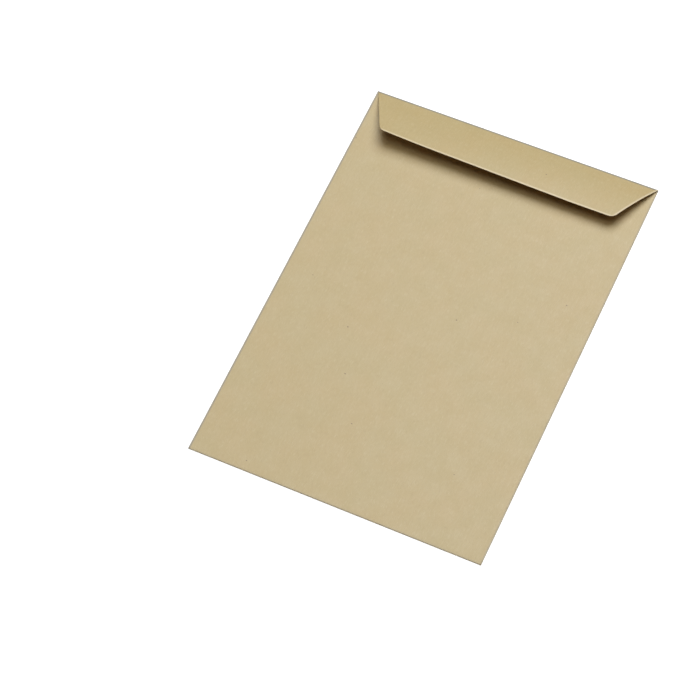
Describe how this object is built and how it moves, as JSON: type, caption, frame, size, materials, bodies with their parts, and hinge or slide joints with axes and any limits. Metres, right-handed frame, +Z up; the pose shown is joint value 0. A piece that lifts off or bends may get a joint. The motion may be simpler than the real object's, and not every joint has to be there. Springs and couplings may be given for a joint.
{
  "type": "paper envelope",
  "caption": "Plain brown kraft paper pocket envelope for unfolded sheets, lying on its address side, with a slanted seal flap on the short side lifted a little over the throat of the pocket",
  "frame": {"origin": "On the surface the envelope lies on, below the middle of its outline.", "axes": "+X runs across the envelope, to the right when the back is seen from above with the flap at the top; +Y runs along it towards the flap; +Z is up, out of the back."},
  "size_m": [0.229, 0.324, 0.0151],
  "materials": {
    "kraft_paper": "smooth machine-finished brown kraft paper, faintly fibrous, with a slight sheen"
  },
  "bodies": {
    "root": {"envelope": "kraft_paper"}
  },
  "joints": []
}
